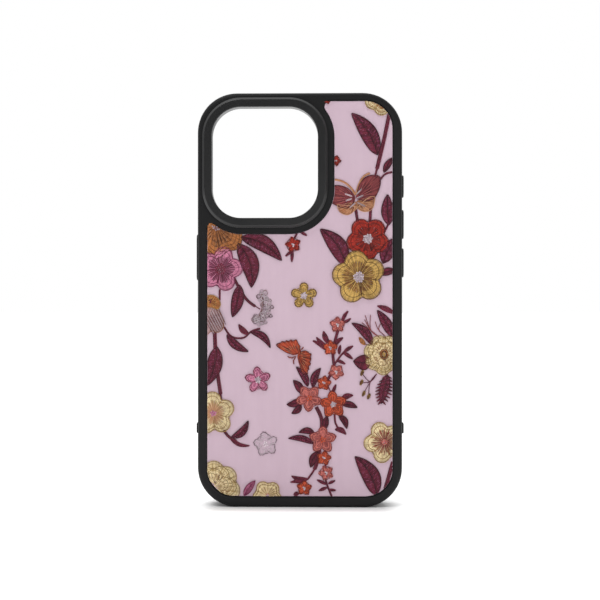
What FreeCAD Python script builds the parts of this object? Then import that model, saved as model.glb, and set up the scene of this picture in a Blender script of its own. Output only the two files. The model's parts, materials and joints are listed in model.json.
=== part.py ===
import FreeCAD, Part
import math
import os

# Phone case standing on its bottom edge. All sizes are in millimetres.
# Z runs up, the decorated back faces -Y, the open side for the screen faces +Y.
# X = 0 is the middle of the width, Z = 0 the bottom edge and Y = 0 the middle of
# the whole depth, camera ring included.

# The handset that the case is moulded for
PHONE_WIDTH = 70.6
PHONE_HEIGHT = 146.6
PHONE_DEPTH = 8.25
PHONE_PLAY = 0.1

# Soft bumper round the handset
WALL = 1.6
END_WALL = 1.4
BODY_CORNER = 14.2
REAR_EDGE = 1.5
FRONT_EDGE = 1.0
LIP_THICKNESS = 1.2
LIP_OVERLAP = 1.0
MOUTH_EDGE = 0.4

# Layers of the back, from the outside in
PANEL_RECESS = 0.35
PANEL_THICKNESS = 0.7
FILM_THICKNESS = 0.1
PLATE_THICKNESS = 1.0
LINING_THICKNESS = 0.3

# Decorated panel and the border that the bumper leaves round it
PANEL_SIDE_BORDER = 3.5
PANEL_TOP_BORDER = 3.1
PANEL_BOTTOM_BORDER = 4.0
PANEL_CORNER = 10.0
PANEL_GAP = 0.4
PANEL_EDGE = 0.15
EAR_RADIUS = 2.0
FILM_INSET = 0.5

# Stiff back plate, gripped by a groove in the bumper
PLATE_GRIP = 0.5
PLATE_FIT = 0.05
LINING_INSET = 0.4

# Camera opening, its raised ring and the flat surround moulded round the ring
OPENING_WIDTH = 38.1
OPENING_HEIGHT = 39.8
OPENING_CORNER = 10.5
OPENING_FROM_SIDE = 5.35
OPENING_FROM_TOP = 5.45
SURROUND_WIDTH = 5.7
SURROUND_SHIFT = 0.25
RING_WIDTH = 3.5
RING_RISE = 2.0
RING_BEVEL = 0.8
RING_INNER_EDGE = 0.25
RING_SKIRT = 0.9
RING_FIT = 0.05
SKIRT_SHORT = 0.1

# Side keys: lengths along the edge, and their middles measured down from the top
POWER_LENGTH = 16.8
POWER_FROM_TOP = 59.1
ACTION_LENGTH = 8.2
ACTION_FROM_TOP = 33.3
VOLUME_LENGTH = 10.6
VOLUME_UP_FROM_TOP = 47.15
VOLUME_DOWN_FROM_TOP = 61.15
KEY_WIDTH = 3.8
KEY_PROUD = 0.85
KEY_EDGE = 0.3
KEY_GAP = 0.15
FLANGE_MARGIN = 0.6
FLANGE_THICKNESS = 0.5
FLANGE_PLAY = 0.05
WEB_THICKNESS = 0.3

# Strap anchors: a cord goes in one hole, behind the bar and out of the other
ANCHOR_FROM_BOTTOM = 28.1
PAD_LENGTH = 10.0
PAD_WIDTH = 6.8
PAD_PROUD = 0.12
BAR_LENGTH = 3.8
BAR_WIDTH = 5.6
BAR_PROUD = 0.8
BAR_EDGE = 0.35
CORD_SLOT_WIDTH = 4.5
CORD_HOLE_LENGTH = 2.4
CORD_CHANNEL = 1.3

# Shallow bands across the side walls
BAND_LENGTH = 2.2
BAND_DEPTH = 0.12
UPPER_BAND_FROM_TOP = 19.2
LOWER_BAND_FROM_BOTTOM = 19.6

# Openings in the bottom wall
PORT_LENGTH = 13.0
PORT_WIDTH = 6.4
SPEAKER_LENGTH = 12.0
SPEAKER_WIDTH = 2.4
SPEAKER_SPACING = 38.0

# Sizes that follow from those above
BODY_WIDTH = PHONE_WIDTH + 2 * WALL
BODY_HEIGHT = PHONE_HEIGHT + 2 * END_WALL
BACK_DEPTH = PANEL_RECESS + PANEL_THICKNESS + FILM_THICKNESS + PLATE_THICKNESS + LINING_THICKNESS
BODY_DEPTH = BACK_DEPTH + PHONE_DEPTH + PHONE_PLAY + LIP_THICKNESS
CAVITY_CORNER = BODY_CORNER - WALL
RING_Y = -(RING_RISE + BODY_DEPTH) / 2
REAR_Y = RING_Y + RING_RISE
PANEL_Y = REAR_Y + PANEL_RECESS
FILM_Y = PANEL_Y + PANEL_THICKNESS
PLATE_Y = FILM_Y + FILM_THICKNESS
LINING_Y = PLATE_Y + PLATE_THICKNESS
PHONE_Y = LINING_Y + LINING_THICKNESS
LIP_Y = PHONE_Y + PHONE_DEPTH + PHONE_PLAY
FRONT_Y = LIP_Y + LIP_THICKNESS
KEY_Y = (PHONE_Y + LIP_Y) / 2
MIDDLE_Z = BODY_HEIGHT / 2
OPENING_X = -BODY_WIDTH / 2 + OPENING_FROM_SIDE + OPENING_WIDTH / 2
OPENING_Z = BODY_HEIGHT - OPENING_FROM_TOP - OPENING_HEIGHT / 2
ANCHOR_Z = ANCHOR_FROM_BOTTOM

KEYS = (
    ("power_key", -1, POWER_FROM_TOP, POWER_LENGTH),
    ("action_key", 1, ACTION_FROM_TOP, ACTION_LENGTH),
    ("volume_up_key", 1, VOLUME_UP_FROM_TOP, VOLUME_LENGTH),
    ("volume_down_key", 1, VOLUME_DOWN_FROM_TOP, VOLUME_LENGTH),
)

ACROSS = FreeCAD.Vector(1, 0, 0)
DEEP = FreeCAD.Vector(0, 1, 0)
UP = FreeCAD.Vector(0, 0, 1)


def rounded_block(centre, wide, tall, push, width, height, corner):
    """Block with a round-cornered section, centred on its first face and pushed along a vector."""
    arcs = []
    for turn, side, level in ((0, 1, 1), (90, -1, 1), (180, -1, -1), (270, 1, -1)):
        hub = centre + wide * (side * (width / 2 - corner)) + tall * (level * (height / 2 - corner))
        spots = []
        for step in (0, 45, 90):
            angle = math.radians(turn + step)
            spots.append(hub + wide * (corner * math.cos(angle)) + tall * (corner * math.sin(angle)))
        arcs.append(Part.Arc(*spots).toShape())
    edges = []
    for number, arc in enumerate(arcs):
        start = arc.Vertexes[-1].Point
        end = arcs[(number + 1) % 4].Vertexes[0].Point
        edges.append(arc)
        if start.distanceToPoint(end) > 0.001:
            edges.append(Part.makeLine(start, end))
    return Part.Face(Part.Wire(edges)).extrude(push)


def slab(width, height, corner, start_y, end_y, centre_x=0, centre_z=MIDDLE_Z):
    """Round-cornered slab that stands upright, from one depth to another."""
    centre = FreeCAD.Vector(centre_x, start_y, centre_z)
    return rounded_block(centre, ACROSS, UP, DEEP * (end_y - start_y), width, height, corner)


def side_block(side, near, far, height_z, length, width, corner):
    """Block through a side wall, between two distances from the middle plane of the case."""
    centre = FreeCAD.Vector(side * near, KEY_Y, height_z)
    return rounded_block(centre, DEEP, UP, ACROSS * (side * (far - near)), width, length, corner)


def bottom_block(centre_x, length, width):
    """Round-ended block that cuts down through the bottom wall."""
    centre = FreeCAD.Vector(centre_x, KEY_Y, -1)
    return rounded_block(centre, ACROSS, DEEP, UP * (END_WALL + 2), length, width, width / 2 - 0.01)


def edges_in_plane(shape, direction, value):
    """Edges that lie wholly in the plane at this distance along a direction."""
    found = []
    for edge in shape.Edges:
        spots = [corner.Point for corner in edge.Vertexes] + [edge.CenterOfMass]
        if max(abs(spot.dot(direction) - value) for spot in spots) < 0.0005:
            found.append(edge)
    return found


def opening_slab(grow, start_y, end_y, shift_x=0):
    """Slab with the camera opening's outline, grown evenly all round."""
    return slab(
        OPENING_WIDTH + 2 * grow,
        OPENING_HEIGHT + 2 * grow,
        OPENING_CORNER + grow,
        start_y,
        end_y,
        OPENING_X + shift_x,
        OPENING_Z,
    )


def ear_edges(shape, left, top):
    """The two sharp upright corners where the camera cut meets the panel's top and left side."""
    on_top = []
    on_left = []
    for edge in shape.Edges:
        first = edge.Vertexes[0].Point
        last = edge.Vertexes[-1].Point
        if abs(first.x - last.x) + abs(first.z - last.z) > 0.001:
            continue
        if abs(first.z - top) < 0.001:
            on_top.append((first.x, edge))
        if abs(first.x - left) < 0.001:
            on_left.append((-first.z, edge))
    return [min(on_top, key=lambda pair: pair[0])[1], min(on_left, key=lambda pair: pair[0])[1]]


def panel_block(grow, start_y, end_y):
    """The decorated panel's outline as a block, grown evenly all round."""
    width = BODY_WIDTH - 2 * PANEL_SIDE_BORDER + 2 * grow
    height = BODY_HEIGHT - PANEL_TOP_BORDER - PANEL_BOTTOM_BORDER + 2 * grow
    centre_z = MIDDLE_Z + (PANEL_BOTTOM_BORDER - PANEL_TOP_BORDER) / 2
    block = slab(width, height, PANEL_CORNER + grow, start_y, end_y, 0, centre_z)
    block = block.cut(opening_slab(SURROUND_WIDTH - grow, start_y - 1, end_y + 1, SURROUND_SHIFT))
    ears = ear_edges(block, -width / 2, centre_z + height / 2)
    return block.makeFillet(EAR_RADIUS + grow, ears)


def bumper_shell():
    """The bumper's body with rounded outer edges and the pocket for the handset."""
    shell = slab(BODY_WIDTH, BODY_HEIGHT, BODY_CORNER, REAR_Y, FRONT_Y)
    shell = shell.makeFillet(REAR_EDGE, edges_in_plane(shell, DEEP, REAR_Y))
    shell = shell.makeFillet(FRONT_EDGE, edges_in_plane(shell, DEEP, FRONT_Y))
    shell = shell.cut(slab(PHONE_WIDTH, PHONE_HEIGHT, CAVITY_CORNER, LINING_Y, LIP_Y))
    mouth_width = PHONE_WIDTH - 2 * LIP_OVERLAP
    mouth_height = PHONE_HEIGHT - 2 * LIP_OVERLAP
    mouth = slab(mouth_width, mouth_height, CAVITY_CORNER - LIP_OVERLAP, LIP_Y, FRONT_Y)
    shell = shell.cut(mouth)
    rim = []
    for edge in edges_in_plane(shell, DEEP, FRONT_Y):
        spot = edge.CenterOfMass
        if abs(spot.x) < mouth_width / 2 + 0.001 and abs(spot.z - MIDDLE_Z) < mouth_height / 2 + 0.001:
            rim.append(edge)
    return shell.makeFillet(MOUTH_EDGE, rim)


def key_cuts():
    """Stepped windows for the keys: wide inside for the flange, narrow outside for the cap."""
    cuts = []
    step = PHONE_WIDTH / 2 + WEB_THICKNESS + FLANGE_THICKNESS + FLANGE_PLAY
    for name, side, from_top, length in KEYS:
        height_z = BODY_HEIGHT - from_top
        wide = KEY_WIDTH + 2 * FLANGE_MARGIN + 2 * KEY_GAP
        long = length + 2 * FLANGE_MARGIN + 2 * KEY_GAP
        cuts.append(side_block(side, PHONE_WIDTH / 2 - 0.2, step, height_z, long, wide, wide / 2 - 0.01))
        narrow = KEY_WIDTH + 2 * KEY_GAP
        cuts.append(
            side_block(side, step - 0.1, BODY_WIDTH / 2 + 1, height_z, length + 2 * KEY_GAP, narrow, narrow / 2 - 0.01)
        )
    return cuts


def anchor_relief(side):
    """Raised pad and bar of one strap anchor, reaching into the wall."""
    outside = BODY_WIDTH / 2
    pad = side_block(side, outside - 0.5, outside + PAD_PROUD, ANCHOR_Z, PAD_LENGTH, PAD_WIDTH, 1.5)
    bar = side_block(side, outside - 0.5, outside + BAR_PROUD, ANCHOR_Z, BAR_LENGTH, BAR_WIDTH, 0.8)
    bar = bar.makeFillet(BAR_EDGE, edges_in_plane(bar, ACROSS, side * (outside + BAR_PROUD)))
    return pad.fuse(bar)


def anchor_cuts(side):
    """Two cord holes through the wall, joined by a channel behind the bar."""
    inside = PHONE_WIDTH / 2
    hole_step = (BAR_LENGTH + CORD_HOLE_LENGTH) / 2
    cuts = []
    for level in (-1, 1):
        cuts.append(
            side_block(
                side,
                inside - 0.2,
                BODY_WIDTH / 2 + BAR_PROUD + 1,
                ANCHOR_Z + level * hole_step,
                CORD_HOLE_LENGTH,
                CORD_SLOT_WIDTH,
                0.6,
            )
        )
    channel = BAR_LENGTH + CORD_HOLE_LENGTH
    cuts.append(side_block(side, inside - 0.2, inside + CORD_CHANNEL, ANCHOR_Z, channel, CORD_SLOT_WIDTH, 0.3))
    return cuts


def band_cuts():
    """Shallow bands across the flat part of both side walls."""
    cuts = []
    start_y = REAR_Y + REAR_EDGE
    length_y = FRONT_Y - FRONT_EDGE - start_y
    for side in (-1, 1):
        for middle_z in (BODY_HEIGHT - UPPER_BAND_FROM_TOP, LOWER_BAND_FROM_BOTTOM):
            near = side * (BODY_WIDTH / 2 - BAND_DEPTH)
            far = side * (BODY_WIDTH / 2 + 1)
            corner = FreeCAD.Vector(min(near, far), start_y, middle_z - BAND_LENGTH / 2)
            cuts.append(Part.makeBox(abs(far - near), length_y, BAND_LENGTH, corner))
    return cuts


def bottom_cuts():
    """Charging port in the middle of the bottom wall, with a sound slot on each side."""
    cuts = [bottom_block(0, PORT_LENGTH, PORT_WIDTH)]
    for side in (-1, 1):
        cuts.append(bottom_block(side * SPEAKER_SPACING / 2, SPEAKER_LENGTH, SPEAKER_WIDTH))
    return cuts


def make_bumper_frame():
    """Soft bumper: side walls, front lip, rear border and the flat surround of the camera ring."""
    frame = bumper_shell()
    for side in (-1, 1):
        frame = frame.fuse(anchor_relief(side))
    seat_width = PHONE_WIDTH + 2 * PLATE_GRIP
    seat_height = PHONE_HEIGHT + 2 * PLATE_GRIP
    cuts = [slab(seat_width, seat_height, CAVITY_CORNER + PLATE_GRIP, PLATE_Y, LINING_Y)]
    cuts.append(panel_block(PANEL_GAP, REAR_Y - 1, PLATE_Y))
    cuts.append(opening_slab(RING_SKIRT + RING_FIT, REAR_Y - 1, PLATE_Y))
    cuts += key_cuts() + band_cuts() + bottom_cuts()
    for side in (-1, 1):
        cuts += anchor_cuts(side)
    return frame.cut(cuts).removeSplitter()


def make_back_plate():
    """Stiff plate behind the handset, pierced for the camera ring."""
    grip = PLATE_GRIP - PLATE_FIT
    plate = slab(
        PHONE_WIDTH + 2 * grip,
        PHONE_HEIGHT + 2 * grip,
        CAVITY_CORNER + grip,
        PLATE_Y,
        LINING_Y,
    )
    return plate.cut(opening_slab(RING_SKIRT + RING_FIT, PLATE_Y - 1, LINING_Y + 1))


def make_decor_panel():
    """Decorated panel set into the rear border, with its outer edge softened."""
    panel = panel_block(0, PANEL_Y, FILM_Y)
    return panel.makeFillet(PANEL_EDGE, edges_in_plane(panel, DEEP, PANEL_Y))


def make_panel_film():
    """Adhesive film between the decorated panel and the back plate."""
    return panel_block(-FILM_INSET, FILM_Y, PLATE_Y)


def make_camera_ring():
    """Raised ring round the camera opening, with a skirt down through the back plate."""
    ring = opening_slab(RING_WIDTH, RING_Y, REAR_Y)
    ring = ring.makeChamfer(RING_BEVEL, edges_in_plane(ring, DEEP, RING_Y))
    ring = ring.fuse(opening_slab(RING_SKIRT, REAR_Y, PHONE_Y - SKIRT_SHORT))
    ring = ring.cut(opening_slab(0, RING_Y - 1, PHONE_Y + 1)).removeSplitter()
    inner = []
    for edge in edges_in_plane(ring, DEEP, RING_Y):
        spot = edge.CenterOfMass
        if abs(spot.x - OPENING_X) < OPENING_WIDTH / 2 + 0.01 and abs(spot.z - OPENING_Z) < OPENING_HEIGHT / 2 + 0.01:
            inner.append(edge)
    return ring.makeFillet(RING_INNER_EDGE, inner)


def make_lining():
    """Thin soft lining on the inner face of the back plate."""
    lining = slab(
        PHONE_WIDTH - 2 * LINING_INSET,
        PHONE_HEIGHT - 2 * LINING_INSET,
        CAVITY_CORNER - LINING_INSET,
        LINING_Y,
        PHONE_Y,
    )
    return lining.cut(opening_slab(RING_SKIRT + LINING_INSET, LINING_Y - 1, PHONE_Y + 1))


def make_key(side, from_top, length):
    """Key cap that stands just proud of the wall, on a flange that holds it in its window."""
    height_z = BODY_HEIGHT - from_top
    flange_near = PHONE_WIDTH / 2 + WEB_THICKNESS
    flange_far = flange_near + FLANGE_THICKNESS
    outside = BODY_WIDTH / 2 + KEY_PROUD
    cap = side_block(side, flange_near, outside, height_z, length, KEY_WIDTH, KEY_WIDTH / 2 - 0.01)
    cap = cap.makeFillet(KEY_EDGE, edges_in_plane(cap, ACROSS, side * outside))
    wide = KEY_WIDTH + 2 * FLANGE_MARGIN
    flange = side_block(side, flange_near, flange_far, height_z, length + 2 * FLANGE_MARGIN, wide, wide / 2 - 0.01)
    return cap.fuse(flange).removeSplitter()


def make_key_web(side, from_top, length):
    """Thin springy web across the inside of a key window, bonded to its sides."""
    height_z = BODY_HEIGHT - from_top
    wide = KEY_WIDTH + 2 * FLANGE_MARGIN + 2 * KEY_GAP
    long = length + 2 * FLANGE_MARGIN + 2 * KEY_GAP
    near = PHONE_WIDTH / 2
    return side_block(side, near, near + WEB_THICKNESS, height_z, long, wide, wide / 2 - 0.01)


def save(name, shape):
    """Write one piece and report its volume and whether it is a sound solid."""
    shape.exportStep("parts/" + name + ".step")
    print(name, round(shape.Volume, 1), "mm3,", len(shape.Solids), "solid, valid:", shape.isValid())


os.makedirs("parts", exist_ok=True)
save("bumper_frame", make_bumper_frame())
save("back_plate", make_back_plate())
save("decor_panel", make_decor_panel())
save("panel_film", make_panel_film())
save("camera_ring", make_camera_ring())
save("lining", make_lining())
for key_name, key_side, key_from_top, key_length in KEYS:
    save(key_name, make_key(key_side, key_from_top, key_length))
    save(key_name + "_web", make_key_web(key_side, key_from_top, key_length))
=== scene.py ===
# %% [markdown]
# # A phone case with stitched flowers
# The case is moulded in soft black rubber round a stiff back plate. A lilac cloth-faced
# panel is set into the back, and flowers in coloured thread cover it. The pieces that
# carry load come from the CAD frame and get their finishes here. The threads are made here.

# %% Load the frame
import json
import math
import random
import bmesh
import bpy
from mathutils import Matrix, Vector


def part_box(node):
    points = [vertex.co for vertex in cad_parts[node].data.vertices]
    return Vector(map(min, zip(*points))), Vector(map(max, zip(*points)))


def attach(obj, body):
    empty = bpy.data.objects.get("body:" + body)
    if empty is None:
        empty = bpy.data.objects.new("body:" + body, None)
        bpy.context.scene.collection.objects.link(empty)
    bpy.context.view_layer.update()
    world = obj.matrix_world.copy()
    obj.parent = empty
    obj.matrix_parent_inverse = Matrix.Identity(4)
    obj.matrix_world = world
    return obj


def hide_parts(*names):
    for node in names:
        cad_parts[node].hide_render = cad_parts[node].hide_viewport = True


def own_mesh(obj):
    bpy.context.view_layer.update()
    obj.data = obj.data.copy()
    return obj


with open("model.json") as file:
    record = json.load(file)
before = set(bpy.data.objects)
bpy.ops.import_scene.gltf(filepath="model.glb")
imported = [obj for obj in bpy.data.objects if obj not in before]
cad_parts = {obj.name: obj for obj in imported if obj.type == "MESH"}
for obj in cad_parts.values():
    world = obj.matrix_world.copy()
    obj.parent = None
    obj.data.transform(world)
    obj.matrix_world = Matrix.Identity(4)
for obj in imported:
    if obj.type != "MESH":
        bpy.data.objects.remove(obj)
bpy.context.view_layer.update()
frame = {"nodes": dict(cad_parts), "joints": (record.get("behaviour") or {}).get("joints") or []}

# %% [markdown]
# Every place on the back is taken from the CAD pieces. The panel's outer face is where the
# threads lie, and the camera ring tells how far the panel is cut back round the camera.

# %% Places read from the CAD pieces
MM = 0.001
panel_low, panel_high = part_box("decor_panel")
ring_low, ring_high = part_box("camera_ring")
case_low, case_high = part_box("bumper_frame")
FACE_Y = panel_low[1]
PANEL_CORNER = 10.0
CAMERA_CORNER = 16.2
CAMERA_MARGIN = 2.2
CAMERA_SHIFT = 0.25
EAR_ROUNDING = 2.4
CLOTH_EDGE = 0.12
panel_middle, panel_half = (
    tuple((panel_high[k] + sign * panel_low[k]) / 2 / MM for k in (0, 2)) for sign in (1, -1)
)
ring_middle, ring_half = (
    tuple((ring_high[k] + sign * ring_low[k]) / 2 / MM for k in (0, 2)) for sign in (1, -1)
)
camera_middle = (ring_middle[0] + CAMERA_SHIFT, ring_middle[1])
camera_half = tuple(half + CAMERA_MARGIN for half in ring_half)
print("panel in mm:", panel_middle, panel_half, "camera cut:", camera_middle, camera_half)

# %% [markdown]
# Finishes are built from nodes. Small helpers keep that short: they add a node and fill its
# inputs, do arithmetic, and start a node group with named inputs and outputs.

# %% Node helpers


def add_node(tree, kind, inputs=None, **settings):
    """Add a node, set its options, and fill inputs with plain values or other sockets."""
    made = tree.nodes.new(kind)
    for key, value in settings.items():
        setattr(made, key, value)
    for key, value in (inputs or {}).items():
        if isinstance(value, bpy.types.NodeSocket):
            tree.links.new(value, made.inputs[key])
        else:
            made.inputs[key].default_value = value
    return made


def output_of(tree, kind, inputs=None, **settings):
    """Add a node and give its first output."""
    return add_node(tree, kind, inputs, **settings).outputs[0]


def math_node(tree, operation, first, second=0.0):
    """One step of arithmetic between two values."""
    return output_of(tree, "ShaderNodeMath", {0: first, 1: second}, operation=operation)


def product(tree, *factors):
    """Several values multiplied in turn."""
    total = factors[0]
    for factor in factors[1:]:
        total = math_node(tree, "MULTIPLY", total, factor)
    return total


def start_group(name, kind, inputs, outputs):
    """An empty node group with its sockets in place."""
    tree = bpy.data.node_groups.new(name, kind)
    for label, socket_kind, value in inputs:
        socket = tree.interface.new_socket(name=label, in_out="INPUT", socket_type=socket_kind)
        if value is not None:
            socket.default_value = value
    for label, socket_kind in outputs:
        tree.interface.new_socket(name=label, in_out="OUTPUT", socket_type=socket_kind)
    return tree, tree.nodes.new("NodeGroupInput"), tree.nodes.new("NodeGroupOutput")


def from_srgb(red, green, blue):
    """A colour as a painter names it, 0 to 255, turned into the light values that shaders use."""
    shares = [value / 255 for value in (red, green, blue)]
    return tuple(((v + 0.055) / 1.055) ** 2.4 if v > 0.04 else v / 12.92 for v in shares) + (1.0,)


# %% [markdown]
# Moulded rubber and plastic carry a fine spark-eroded grain from the mould, and handling
# leaves soft patches that shine a little more. One group gives both: a grain height for the
# bump, and a slow patchy mask that shifts roughness and colour.

# %% Moulded grain group
grain_tree, given, result = start_group(
    "moulded_grain",
    "ShaderNodeTree",
    (("Grain Size", "NodeSocketFloat", 0.0003), ("Patch Size", "NodeSocketFloat", 0.02)),
    (("Height", "NodeSocketFloat"), ("Patches", "NodeSocketFloat")),
)
place = add_node(grain_tree, "ShaderNodeTexCoord").outputs["Object"]
for size, detail, output in (("Grain Size", 3.0, "Height"), ("Patch Size", 2.0, "Patches")):
    scale = math_node(grain_tree, "DIVIDE", 1.0, given.outputs[size])
    noise = add_node(grain_tree, "ShaderNodeTexNoise", {"Vector": place, "Scale": scale, "Detail": detail})
    grain_tree.links.new(noise.outputs["Fac"], result.inputs[output])
print("made group", grain_tree.name)

# %% [markdown]
# A twisted thread shows its ply as slanting ridges. Each thread mesh carries how far along
# and how far round the thread a point is, so a sine of the two gives the twist.

# %% Thread ply group
ply_tree, given, result = start_group(
    "thread_ply",
    "ShaderNodeTree",
    (
        ("Along", "NodeSocketFloat", 0.0),
        ("Around", "NodeSocketFloat", 0.0),
        ("Twist Length", "NodeSocketFloat", 0.0006),
    ),
    (("Height", "NodeSocketFloat"),),
)
turns = math_node(ply_tree, "DIVIDE", given.outputs["Along"], given.outputs["Twist Length"])
around = product(ply_tree, given.outputs["Around"], 2.0)
phase = product(ply_tree, math_node(ply_tree, "ADD", turns, around), 2 * math.pi)
ridge = math_node(ply_tree, "SINE", phase)
ply_tree.links.new(ridge, result.inputs["Height"])
print("made group", ply_tree.name)

# %% [markdown]
# The panel's cloth is a tight satin: fine threads up and across, a little brighter where a
# thread lies on top. The group crosses two sine waves and adds slubs, the thicker places.

# %% Fine weave group
weave_tree, given, result = start_group(
    "fine_weave",
    "ShaderNodeTree",
    (("Thread Pitch", "NodeSocketFloat", 0.0003), ("Slub Size", "NodeSocketFloat", 0.0025)),
    (("Height", "NodeSocketFloat"), ("Shade", "NodeSocketFloat")),
)
place = add_node(weave_tree, "ShaderNodeTexCoord").outputs["Object"]
parts = add_node(weave_tree, "ShaderNodeSeparateXYZ", {0: place})
waves = []
for axis in ("X", "Z"):
    cycles = math_node(weave_tree, "DIVIDE", parts.outputs[axis], given.outputs["Thread Pitch"])
    waves.append(math_node(weave_tree, "SINE", product(weave_tree, cycles, 2 * math.pi)))
crossed = product(weave_tree, *waves)
stretched = add_node(weave_tree, "ShaderNodeMapping", {"Vector": place, "Scale": (1.0, 1.0, 0.12)})
scale = math_node(weave_tree, "DIVIDE", 1.0, given.outputs["Slub Size"])
slub_noise = {"Vector": stretched.outputs[0], "Scale": scale, "Detail": 4.0}
slubs = add_node(weave_tree, "ShaderNodeTexNoise", slub_noise)
weave_tree.links.new(crossed, result.inputs["Height"])
weave_tree.links.new(slubs.outputs["Fac"], result.inputs["Shade"])
print("made group", weave_tree.name)

# %% [markdown]
# The black pieces are one family. The bumper is soft and a little dusty, the ring and keys
# are hard and tighter in their shine, and the lining is a short nap. Each is one row of a
# table, with its own dark and light tone, roughness and grain.

# %% Black finishes
ROUGHNESS_SPREAD = 0.06
GRAIN_STRENGTH = 0.6
NAP_SHEEN = 0.5


def new_material(name):
    """A material with its surface shader, ready for nodes."""
    made = bpy.data.materials.new(name)
    made.use_nodes = True
    return made, made.node_tree, made.node_tree.nodes["Principled BSDF"]


def two_tone(tree, shader, share, dark, light):
    """Colour a surface between two tones, by a share from 0 to 1."""
    tone = add_node(tree, "ShaderNodeMix", {"Factor": share, 6: dark, 7: light}, data_type="RGBA")
    tree.links.new(tone.outputs[2], shader.inputs["Base Color"])


def relief(tree, shader, height, depth, strength=1.0):
    """Turn a height from 0 to 1 into fine relief of a depth in metres."""
    bump = add_node(tree, "ShaderNodeBump", {"Height": height, "Distance": depth, "Strength": strength})
    tree.links.new(bump.outputs[0], shader.inputs["Normal"])


def shine(shader, rough, gloss, sheen=0.0):
    """How a surface without grain takes the light."""
    shader.inputs["Roughness"].default_value = rough
    shader.inputs["Specular IOR Level"].default_value = gloss
    shader.inputs["Sheen Weight"].default_value = sheen


def moulded_finish(name, dark, light, rough, gloss, grain_size, bump_depth):
    """Dyed-through moulded plastic: grain, slow patches of shine and a faint change of tone."""
    made, tree, shader = new_material(name)
    grain = add_node(tree, "ShaderNodeGroup", node_tree=grain_tree)
    grain.inputs["Grain Size"].default_value = grain_size
    patches = grain.outputs["Patches"]
    two_tone(tree, shader, patches, from_srgb(*dark), from_srgb(*light))
    limits = {"To Min": rough - ROUGHNESS_SPREAD, "To Max": rough + ROUGHNESS_SPREAD}
    spread = add_node(tree, "ShaderNodeMapRange", {"Value": patches, **limits})
    tree.links.new(spread.outputs[0], shader.inputs["Roughness"])
    shader.inputs["Specular IOR Level"].default_value = gloss
    relief(tree, shader, grain.outputs["Height"], bump_depth, GRAIN_STRENGTH)
    return made


# Dark and light tone, roughness, gloss, grain size and depth of the grain in metres
MOULDED = {
    "soft_black": ((16, 16, 17), (23, 23, 24), 0.5, 0.2, 0.0003, 0.00003),
    "hard_black": ((12, 12, 13), (19, 19, 20), 0.3, 0.52, 0.0002, 0.00001),
    "key_black": ((13, 13, 14), (20, 20, 21), 0.4, 0.28, 0.00025, 0.00002),
    "plate_black": ((34, 34, 36), (42, 42, 44), 0.45, 0.4, 0.0004, 0.00002),
    "film_milky": ((196, 192, 186), (216, 212, 206), 0.4, 0.4, 0.001, 0.00001),
    "nap_grey": ((48, 47, 50), (74, 73, 78), 0.85, 0.1, 0.00025, 0.00012),
}
finishes = {name: moulded_finish(name, *values) for name, values in MOULDED.items()}
finishes["nap_grey"].node_tree.nodes["Principled BSDF"].inputs["Sheen Weight"].default_value = NAP_SHEEN

FINISH_OF = {
    "bumper_frame": "soft_black",
    "camera_ring": "hard_black",
    "back_plate": "plate_black",
    "panel_film": "film_milky",
    "lining": "nap_grey",
    "power_key": "key_black",
    "action_key": "key_black",
    "volume_up_key": "key_black",
    "volume_down_key": "key_black",
}


def dress(piece, finish):
    """Give a piece one material."""
    piece.data.materials.clear()
    piece.data.materials.append(finish)


for node_name, finish in FINISH_OF.items():
    dress(frame["nodes"][node_name], finishes[finish])
print("finished", len(FINISH_OF), "moulded and lining pieces")

# %% [markdown]
# The panel keeps its CAD shape and gets the cloth finish: lilac pink, a faint weave and
# slightly lighter slubs running down the cloth.

# %% Panel cloth
WEAVE_DEPTH = 0.00002
cloth, tree, shader = new_material("lilac_cloth")
weave = add_node(tree, "ShaderNodeGroup", node_tree=weave_tree)
two_tone(tree, shader, weave.outputs["Shade"], from_srgb(197, 172, 186), from_srgb(204, 180, 193))
shine(shader, 0.75, 0.2, 0.15)
relief(tree, shader, weave.outputs["Height"], WEAVE_DEPTH)
panel = frame["nodes"]["decor_panel"]
dress(panel, cloth)
print("panel cloth on", panel.name)

# %% [markdown]
# A thread's colour runs between a dark and a light dye of one hue. Each stitch carries its
# own tone from 0 to 1, so neighbouring stitches differ a little, as real floss does.

# %% Thread finishes
PLY_DEPTH = 0.00004
THREAD_DYES = {
    "wine": ((52, 4, 22), (138, 46, 70)),
    "red": ((80, 10, 8), (190, 52, 36)),
    "orange": ((112, 32, 16), (224, 98, 62)),
    "coral": ((122, 44, 44), (224, 130, 120)),
    "pink": ((124, 38, 78), (232, 150, 182)),
    "rose": ((80, 20, 30), (168, 80, 82)),
    "gold": ((92, 58, 22), (224, 184, 104)),
    "pale_gold": ((150, 108, 58), (248, 230, 184)),
    "brown": ((78, 40, 18), (196, 124, 68)),
    "peach": ((160, 98, 62), (226, 172, 132)),
    "silver": ((112, 82, 94), (226, 212, 219)),
    "mauve": ((92, 56, 60), (196, 158, 158)),
}


def thread_finish(name, dark, light):
    """Shiny floss: tone from the stitch, ply ridges as bump, a soft sheen."""
    made, tree, shader = new_material(name)
    tone, along, around = (
        add_node(tree, "ShaderNodeAttribute", attribute_name=label).outputs["Fac"]
        for label in ("tone", "along", "around")
    )
    ply = add_node(tree, "ShaderNodeGroup", {"Along": along, "Around": around}, node_tree=ply_tree)
    two_tone(tree, shader, tone, from_srgb(*dark), from_srgb(*light))
    shine(shader, 0.5, 0.25, 0.1)
    relief(tree, shader, ply.outputs["Height"], PLY_DEPTH)
    return made


threads = {name: thread_finish(name + "_floss", *dyes) for name, dyes in THREAD_DYES.items()}
print("dyed", len(threads), "threads")

# %% [markdown]
# The panel is cut to its outline after it is embroidered, so stitches stop at its edge.
# A signed distance, negative inside, tells whether a point is on the cloth: inside the
# round-cornered panel and outside the camera cut, with the pointed ears rounded off.

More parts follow.
